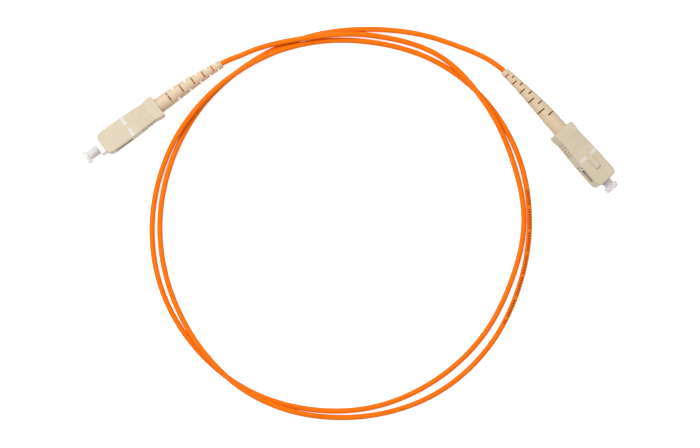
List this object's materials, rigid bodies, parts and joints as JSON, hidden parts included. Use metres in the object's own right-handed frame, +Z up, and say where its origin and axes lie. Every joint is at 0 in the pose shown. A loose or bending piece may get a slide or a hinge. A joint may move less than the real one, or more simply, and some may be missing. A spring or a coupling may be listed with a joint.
{
  "type": "fiber optic patch cord",
  "caption": "Simplex fiber optic patch cord: an orange cable coiled loosely, with a beige push-pull plug, slotted boot and dust cap on each end.",
  "frame": {"origin": "on the surface that the cord rests on, at the middle of the box around both plugs", "axes": "+X from plug A towards plug B, +Z up from the surface"},
  "size_m": [0.1998, 0.1477, 0.009],
  "materials": {
    "jacket": "smooth soft vinyl, semi-gloss",
    "aramid": "straight yellow yarn",
    "buffer": "matt",
    "housing": "fine satin moulding",
    "white_paint": "matt paint",
    "frame": "satin moulding",
    "zirconia": "polished",
    "nickel": "nickel plated brass, satin",
    "glass_fibre": "clear",
    "spring_steel": "drawn wire",
    "crimp_metal": "satin",
    "boot": "soft matt moulding",
    "cap": "translucent polyethylene"
  },
  "bodies": {
    "cord_and_plug_cores": {"cable_jacket": "jacket", "aramid_yarn": "aramid", "buffered_fibre": "buffer", "plug_frame_a": "frame", "ferrule_spring_a": "spring_steel", "backbone_a": "nickel", "folded_yarn_a": "aramid", "crimp_sleeve_a": "crimp_metal", "boot_a": "boot", "plug_frame_b": "frame", "ferrule_spring_b": "spring_steel", "backbone_b": "nickel", "folded_yarn_b": "aramid", "crimp_sleeve_b": "crimp_metal", "boot_b": "boot"},
    "outer_housing_a": {"housing_a": "housing", "housing_marks_a": "white_paint"},
    "ferrule_unit_a": {"ferrule_a": "zirconia", "ferrule_flange_a": "nickel", "bare_fibre_a": "glass_fibre"},
    "cap_a": {"dust_cap_a": "cap"},
    "outer_housing_b": {"housing_b": "housing", "housing_marks_b": "white_paint"},
    "ferrule_unit_b": {"ferrule_b": "zirconia", "ferrule_flange_b": "nickel", "bare_fibre_b": "glass_fibre"},
    "cap_b": {"dust_cap_b": "cap"}
  },
  "joints": [
    {"name": "housing_slide_a", "type": "slide", "parent": "cord_and_plug_cores", "child": "outer_housing_a", "axis": [-0.8039, -0.5927, 0.0506], "range_m": [0, 0.0021]},
    {"name": "ferrule_float_a", "type": "slide", "parent": "cord_and_plug_cores", "child": "ferrule_unit_a", "axis": [-0.8039, -0.5927, 0.0506], "range_m": [-0.0015, 0], "stiffness_N_per_m": 1000, "deforming": ["ferrule_spring_a"]},
    {"name": "cap_pull_a", "type": "slide", "parent": "cord_and_plug_cores", "child": "cap_a", "axis": [-0.8039, -0.5927, 0.0506], "range_m": [-0.0017, 0.012]},
    {"name": "housing_slide_b", "type": "slide", "parent": "cord_and_plug_cores", "child": "outer_housing_b", "axis": [0.6652, -0.7466, 0], "range_m": [-0.0021, 0]},
    {"name": "ferrule_float_b", "type": "slide", "parent": "cord_and_plug_cores", "child": "ferrule_unit_b", "axis": [0.6652, -0.7466, 0], "range_m": [-0.0015, 0], "stiffness_N_per_m": 1000, "deforming": ["ferrule_spring_b"]},
    {"name": "cap_pull_b", "type": "slide", "parent": "cord_and_plug_cores", "child": "cap_b", "axis": [0.6652, -0.7466, 0], "range_m": [0, 0.012]}
  ]
}
